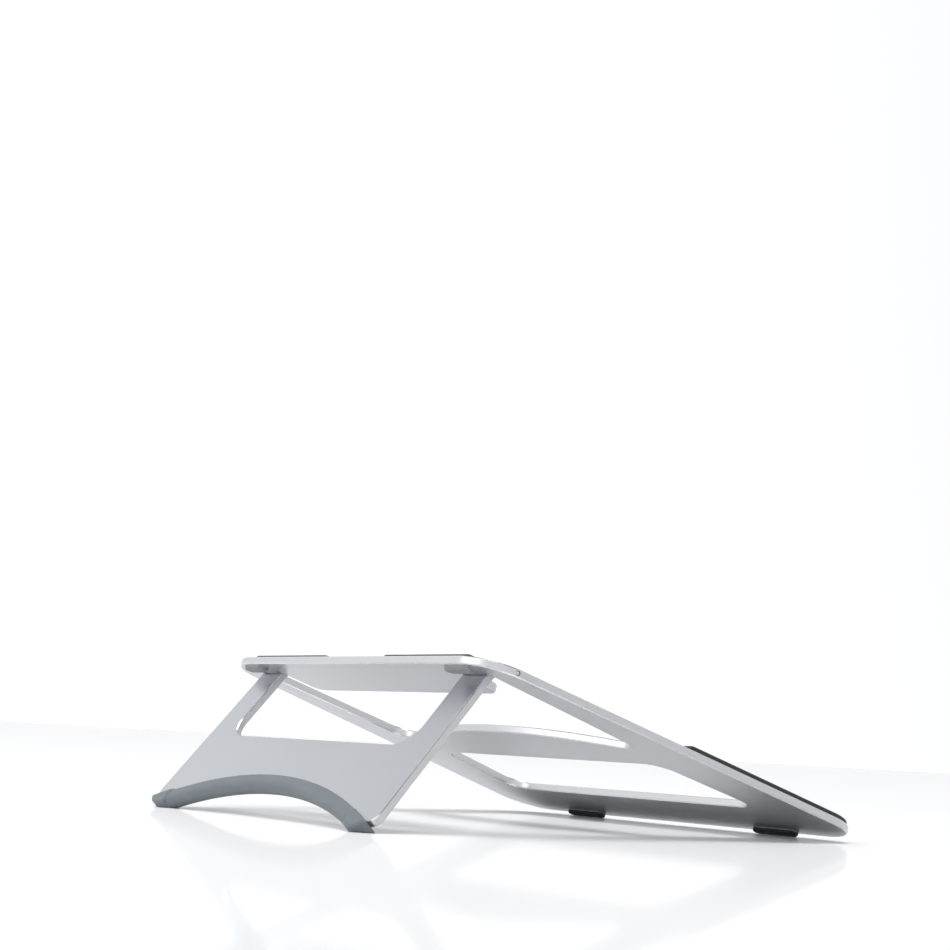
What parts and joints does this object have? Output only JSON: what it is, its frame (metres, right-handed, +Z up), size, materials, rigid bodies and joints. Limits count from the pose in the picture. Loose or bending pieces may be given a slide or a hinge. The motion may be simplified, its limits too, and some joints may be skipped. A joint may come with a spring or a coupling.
{
  "type": "folding laptop stand",
  "caption": "Folding aluminium laptop stand: a tapered plate with two windows, rubber feet and pads, and a fold-out leg with an arched, silicone-edged foot.",
  "frame": {"origin": "centre of the footprint of the whole open stand, on the surface it stands on", "axes": "+X across the stand, front edge at -Y, hinge and leg at +Y, +Z up"},
  "size_m": [0.2262, 0.2572, 0.0696],
  "materials": {
    "plate_aluminium": "fine blasted and clear anodised, bright cut edges",
    "leg_aluminium": "fine blasted and clear anodised, bright cut edges",
    "pin_steel": "ground steel, domed end",
    "washer_polymer": "natural polymer",
    "trim_silicone": "matt grey silicone",
    "front_foot_rubber": "matt black rubber",
    "rear_foot_rubber": "matt grey rubber",
    "top_pad_rubber": "matt black silicone, fine texture",
    "adhesive_film": "translucent adhesive film"
  },
  "bodies": {
    "platform": {"front_foot_adhesive_left": "adhesive_film", "front_foot_adhesive_right": "adhesive_film", "front_foot_left": "front_foot_rubber", "front_foot_right": "front_foot_rubber", "front_pad_adhesive_left": "adhesive_film", "front_pad_adhesive_right": "adhesive_film", "front_top_pad_left": "top_pad_rubber", "front_top_pad_right": "top_pad_rubber", "hinge_pin_left": "pin_steel", "hinge_pin_right": "pin_steel", "inner_washer_left": "washer_polymer", "inner_washer_right": "washer_polymer", "outer_washer_left": "washer_polymer", "outer_washer_right": "washer_polymer", "platform_plate": "plate_aluminium", "rear_foot_adhesive_left": "adhesive_film", "rear_foot_adhesive_right": "adhesive_film", "rear_foot_left": "rear_foot_rubber", "rear_foot_right": "rear_foot_rubber", "rear_pad_adhesive_left": "adhesive_film", "rear_pad_adhesive_right": "adhesive_film", "rear_top_pad_left": "top_pad_rubber", "rear_top_pad_right": "top_pad_rubber"},
    "leg": {"support_leg": "leg_aluminium", "leg_foot_trim": "trim_silicone"}
  },
  "joints": [
    {"name": "leg_fold", "type": "hinge", "parent": "platform", "child": "leg", "pos_m": [0, 0.06937, 0.06254], "axis": [-1, 0, 0], "range_deg": [0, 115]}
  ]
}
